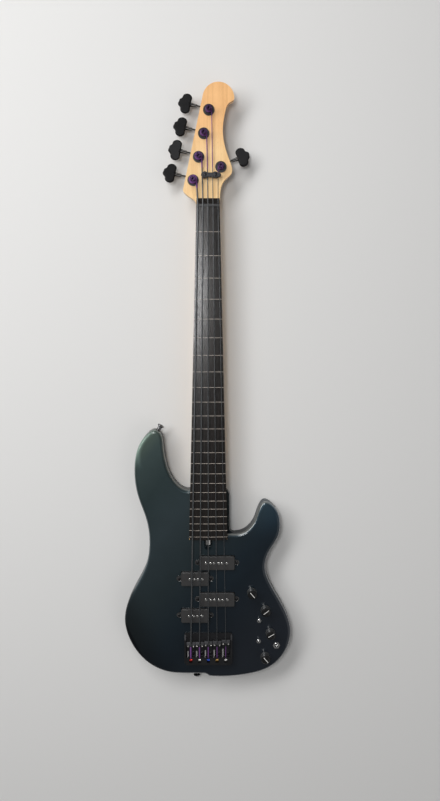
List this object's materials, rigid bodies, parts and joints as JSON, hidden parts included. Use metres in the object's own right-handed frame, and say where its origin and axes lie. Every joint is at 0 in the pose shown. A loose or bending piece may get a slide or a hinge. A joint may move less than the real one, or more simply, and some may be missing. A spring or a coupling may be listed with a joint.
{
  "type": "electric bass guitar",
  "caption": "Solid-body fretless electric bass guitar with fret lines, a bolt-on neck, split pickups, a bridge with five saddles and tuners on both sides of the headstock.",
  "frame": {"origin": "on the flat back of the body, on the neck's centre line, under the end of the scale at the bridge", "axes": "+X towards the thin strings' side, +Y along the neck towards the headstock, +Z out of the playing side"},
  "size_m": [0.3352, 1.1806, 0.062],
  "materials": {
    "body_paint": "dark blue-green metallic lacquer on wood",
    "maple": "satin pale maple",
    "dark_board": "oiled near-black hardwood",
    "line_veneer": "pale veneer, flush with the board",
    "nut_material": "dark grey composite",
    "steel": "bright steel",
    "black_metal": "satin black plating",
    "string_metal": "round-wound steel",
    "pickup_plastic": "satin black moulding",
    "coil_wire": "enamelled winding",
    "lead_sheath": "black sheath",
    "chrome_parts": "bright plating",
    "cover_plastic": "fine textured black",
    "circuit_board": "green board",
    "battery_case": "plain grey case",
    "knob_black": "black with a pale pointer line"
  },
  "bodies": {
    "guitar": {"body": "body_paint", "neck": "maple", "fingerboard": "dark_board", "fret_lines": "line_veneer", "nut": "nut_material", "truss_rod": "steel", "neck_bolts": "steel", "neck_ferrules": "black_metal", "string_retainer": "black_metal", "headstock_screws": "black_metal", "tuner_plates": "black_metal", "tuner_bushings": "black_metal", "bridge_plate": "black_metal", "bridge_screws": "black_metal", "pickup_covers": "pickup_plastic", "pickup_coils": "coil_wire", "pickup_poles": "steel", "pickup_screws": "steel", "pickup_leads": "lead_sheath", "pots": "steel", "switches": "steel", "output_jack": "steel", "control_nuts": "chrome_parts", "control_cover": "cover_plastic", "cover_screws": "black_metal", "preamp_board": "circuit_board", "battery": "battery_case", "strap_buttons": "black_metal", "string_b": "string_metal", "string_e": "string_metal", "string_a": "string_metal", "string_d": "string_metal", "string_g": "string_metal"},
    "tuner_key_1": {"tuner_key_1": "black_metal"},
    "tuner_post_1": {"tuner_post_1": "black_metal"},
    "tuner_key_2": {"tuner_key_2": "black_metal"},
    "tuner_post_2": {"tuner_post_2": "black_metal"},
    "tuner_key_3": {"tuner_key_3": "black_metal"},
    "tuner_post_3": {"tuner_post_3": "black_metal"},
    "tuner_key_4": {"tuner_key_4": "black_metal"},
    "tuner_post_4": {"tuner_post_4": "black_metal"},
    "tuner_key_5": {"tuner_key_5": "black_metal"},
    "tuner_post_5": {"tuner_post_5": "black_metal"},
    "intonation_screw_1": {"intonation_screw_1": "steel"},
    "saddle_1": {"saddle_1": "black_metal"},
    "intonation_screw_2": {"intonation_screw_2": "steel"},
    "saddle_2": {"saddle_2": "black_metal"},
    "intonation_screw_3": {"intonation_screw_3": "steel"},
    "saddle_3": {"saddle_3": "black_metal"},
    "intonation_screw_4": {"intonation_screw_4": "steel"},
    "saddle_4": {"saddle_4": "black_metal"},
    "intonation_screw_5": {"intonation_screw_5": "steel"},
    "saddle_5": {"saddle_5": "black_metal"},
    "knob_1": {"knob_1": "knob_black"},
    "knob_2": {"knob_2": "knob_black"},
    "knob_3": {"knob_3": "knob_black"},
    "knob_4": {"knob_4": "knob_black"},
    "switch_lever_1": {"switch_lever_1": "chrome_parts"},
    "switch_lever_2": {"switch_lever_2": "chrome_parts"},
    "truss_nut": {"truss_nut": "steel"}
  },
  "joints": [
    {"name": "tuner_1_key_turn", "type": "hinge", "parent": "guitar", "child": "tuner_key_1", "pos_m": [-0.02736, 0.92283, 0.0216], "axis": [-0.9789, 0.2045, 0], "continuous": true},
    {"name": "tuner_1_post_turn", "type": "hinge", "parent": "guitar", "child": "tuner_post_1", "pos_m": [-0.029, 0.915, 0.0216], "axis": [0, 0, 1], "continuous": true},
    {"name": "tuner_2_key_turn", "type": "hinge", "parent": "guitar", "child": "tuner_key_2", "pos_m": [-0.01656, 0.96733, 0.0216], "axis": [-0.9789, 0.2045, 0], "continuous": true},
    {"name": "tuner_2_post_turn", "type": "hinge", "parent": "guitar", "child": "tuner_post_2", "pos_m": [-0.0182, 0.9595, 0.0216], "axis": [0, 0, 1], "continuous": true},
    {"name": "tuner_3_key_turn", "type": "hinge", "parent": "guitar", "child": "tuner_key_3", "pos_m": [-0.00666, 1.01183, 0.0216], "axis": [-0.9789, 0.2045, 0], "continuous": true},
    {"name": "tuner_3_post_turn", "type": "hinge", "parent": "guitar", "child": "tuner_post_3", "pos_m": [-0.0083, 1.004, 0.0216], "axis": [0, 0, 1], "continuous": true},
    {"name": "tuner_4_key_turn", "type": "hinge", "parent": "guitar", "child": "tuner_key_4", "pos_m": [0.00314, 1.05633, 0.0216], "axis": [-0.9789, 0.2045, 0], "continuous": true},
    {"name": "tuner_4_post_turn", "type": "hinge", "parent": "guitar", "child": "tuner_post_4", "pos_m": [0.0015, 1.0485, 0.0216], "axis": [0, 0, 1], "continuous": true},
    {"name": "tuner_5_key_turn", "type": "hinge", "parent": "guitar", "child": "tuner_key_5", "pos_m": [0.02238, 0.94806, 0.0216], "axis": [0.9449, 0.3272, 0], "continuous": true},
    {"name": "tuner_5_post_turn", "type": "hinge", "parent": "guitar", "child": "tuner_post_5", "pos_m": [0.025, 0.9405, 0.0216], "axis": [0, 0, 1], "continuous": true},
    {"name": "intonation_1_turn", "type": "hinge", "parent": "guitar", "child": "intonation_screw_1", "pos_m": [-0.041, -0.044, 0.0493], "axis": [0, 1, 0], "range_deg": [-3086, 0]},
    {"name": "saddle_1_slide", "type": "slide", "parent": "guitar", "child": "saddle_1", "axis": [0, 1, 0], "range_m": [0, 0.006]},
    {"name": "intonation_2_turn", "type": "hinge", "parent": "guitar", "child": "intonation_screw_2", "pos_m": [-0.0235, -0.044, 0.0493], "axis": [0, 1, 0], "range_deg": [-3086, 0]},
    {"name": "saddle_2_slide", "type": "slide", "parent": "guitar", "child": "saddle_2", "axis": [0, 1, 0], "range_m": [0, 0.006]},
    {"name": "intonation_3_turn", "type": "hinge", "parent": "guitar", "child": "intonation_screw_3", "pos_m": [-0.006, -0.044, 0.0493], "axis": [0, 1, 0], "range_deg": [-3086, 0]},
    {"name": "saddle_3_slide", "type": "slide", "parent": "guitar", "child": "saddle_3", "axis": [0, 1, 0], "range_m": [0, 0.006]},
    {"name": "intonation_4_turn", "type": "hinge", "parent": "guitar", "child": "intonation_screw_4", "pos_m": [0.0115, -0.044, 0.0493], "axis": [0, 1, 0], "range_deg": [-3086, 0]},
    {"name": "saddle_4_slide", "type": "slide", "parent": "guitar", "child": "saddle_4", "axis": [0, 1, 0], "range_m": [0, 0.006]},
    {"name": "intonation_5_turn", "type": "hinge", "parent": "guitar", "child": "intonation_screw_5", "pos_m": [0.029, -0.044, 0.0493], "axis": [0, 1, 0], "range_deg": [-3086, 0]},
    {"name": "saddle_5_slide", "type": "slide", "parent": "guitar", "child": "saddle_5", "axis": [0, 1, 0], "range_m": [0, 0.006]},
    {"name": "knob_1_turn", "type": "hinge", "parent": "guitar", "child": "knob_1", "pos_m": [0.0875, 0.101, 0.042], "axis": [0, 0, 1], "range_deg": [-10, 290]},
    {"name": "knob_2_turn", "type": "hinge", "parent": "guitar", "child": "knob_2", "pos_m": [0.1148, 0.065, 0.042], "axis": [0, 0, 1], "range_deg": [-98, 202]},
    {"name": "knob_3_turn", "type": "hinge", "parent": "guitar", "child": "knob_3", "pos_m": [0.125, 0.018, 0.042], "axis": [0, 0, 1], "range_deg": [-91, 209]},
    {"name": "knob_4_turn", "type": "hinge", "parent": "guitar", "child": "knob_4", "pos_m": [0.1146, -0.031, 0.042], "axis": [0, 0, 1], "range_deg": [-11, 289]},
    {"name": "switch_1_tilt", "type": "hinge", "parent": "guitar", "child": "switch_lever_1", "pos_m": [0.1023, 0.0431, 0.0436], "axis": [1, 0, 0], "range_deg": [0, 28]},
    {"name": "switch_2_tilt", "type": "hinge", "parent": "guitar", "child": "switch_lever_2", "pos_m": [0.1015, 0.001, 0.0436], "axis": [1, 0, 0], "range_deg": [0, 28]},
    {"name": "truss_nut_turn", "type": "hinge", "parent": "guitar", "child": "truss_nut", "pos_m": [0, 0.2095, 0.04], "axis": [0, 1, 0], "range_deg": [-360, 360]}
  ],
  "couplings": [
    {"joint": "tuner_1_post_turn", "follows": "tuner_1_key_turn", "ratio": -0.05},
    {"joint": "tuner_2_post_turn", "follows": "tuner_2_key_turn", "ratio": -0.05},
    {"joint": "tuner_3_post_turn", "follows": "tuner_3_key_turn", "ratio": -0.05},
    {"joint": "tuner_4_post_turn", "follows": "tuner_4_key_turn", "ratio": -0.05},
    {"joint": "tuner_5_post_turn", "follows": "tuner_5_key_turn", "ratio": 0.05},
    {"joint": "intonation_1_turn", "follows": "saddle_1_slide", "rad_per_m": -8976},
    {"joint": "intonation_2_turn", "follows": "saddle_2_slide", "rad_per_m": -8976},
    {"joint": "intonation_3_turn", "follows": "saddle_3_slide", "rad_per_m": -8976},
    {"joint": "intonation_4_turn", "follows": "saddle_4_slide", "rad_per_m": -8976},
    {"joint": "intonation_5_turn", "follows": "saddle_5_slide", "rad_per_m": -8976}
  ]
}
